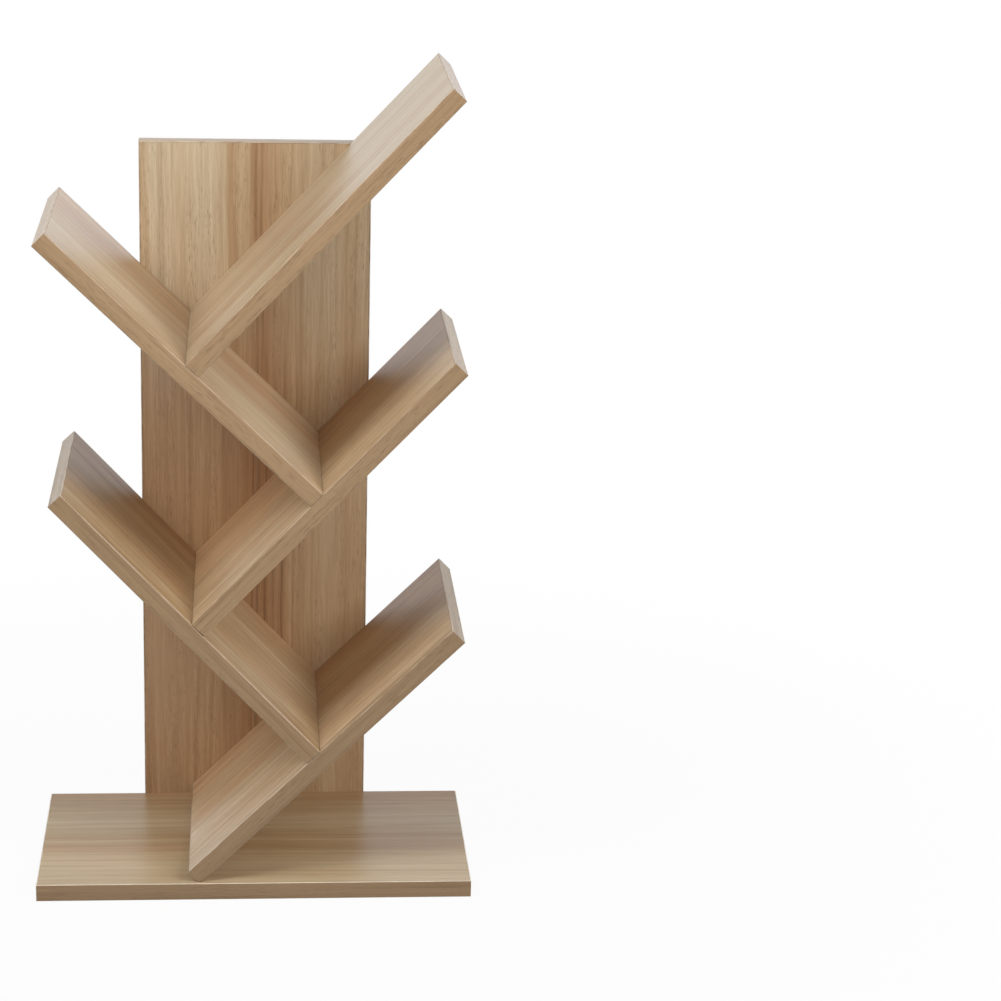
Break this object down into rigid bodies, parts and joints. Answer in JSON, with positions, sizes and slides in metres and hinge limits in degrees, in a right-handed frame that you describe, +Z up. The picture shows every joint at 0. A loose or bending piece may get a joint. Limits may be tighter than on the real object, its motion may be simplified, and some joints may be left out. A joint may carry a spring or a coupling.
{
  "type": "tree shaped bookshelf",
  "caption": "Free-standing bookshelf whose slanting boards branch left and right from a narrow back board on a base, so that books lean in the forks.",
  "frame": {"origin": "middle of the underside of the whole shelf, on the floor", "axes": "+X to the right as the shelf is seen from the front, +Y from the front to the wall behind, +Z up"},
  "size_m": [0.4, 0.233, 0.7521],
  "materials": {
    "laminate": "matt oak-look foil with straight grain, on particle board that shows on the unedged rear edges",
    "edging": "matt oak-look edge band",
    "dowel_beech": "bare beech",
    "screw_zinc": "zinc plated"
  },
  "bodies": {
    "root": {"base_board": "laminate", "base_front_band": "edging", "base_left_band": "edging", "base_right_band": "edging", "base_left_screw": "screw_zinc", "base_right_screw": "screw_zinc", "back_board": "laminate", "back_top_band": "edging", "back_left_band": "edging", "back_right_band": "edging", "right_branch_bottom": "laminate", "right_branch_bottom_front_band": "edging", "right_branch_bottom_end_band": "edging", "right_branch_bottom_foot_band": "edging", "right_branch_bottom_lower_screw": "screw_zinc", "right_branch_bottom_upper_screw": "screw_zinc", "left_branch_bottom": "laminate", "left_branch_bottom_front_band": "edging", "left_branch_bottom_end_band": "edging", "left_branch_bottom_front_dowel": "dowel_beech", "left_branch_bottom_rear_dowel": "dowel_beech", "left_branch_bottom_lower_screw": "screw_zinc", "left_branch_bottom_upper_screw": "screw_zinc", "right_branch_middle": "laminate", "right_branch_middle_front_band": "edging", "right_branch_middle_end_band": "edging", "right_branch_middle_front_dowel": "dowel_beech", "right_branch_middle_rear_dowel": "dowel_beech", "right_branch_middle_lower_screw": "screw_zinc", "right_branch_middle_upper_screw": "screw_zinc", "left_branch_top": "laminate", "left_branch_top_front_band": "edging", "left_branch_top_end_band": "edging", "left_branch_top_front_dowel": "dowel_beech", "left_branch_top_rear_dowel": "dowel_beech", "left_branch_top_lower_screw": "screw_zinc", "left_branch_top_upper_screw": "screw_zinc", "right_branch_top": "laminate", "right_branch_top_front_band": "edging", "right_branch_top_end_band": "edging", "right_branch_top_front_dowel": "dowel_beech", "right_branch_top_rear_dowel": "dowel_beech", "right_branch_top_lower_screw": "screw_zinc", "right_branch_top_upper_screw": "screw_zinc"}
  },
  "joints": []
}
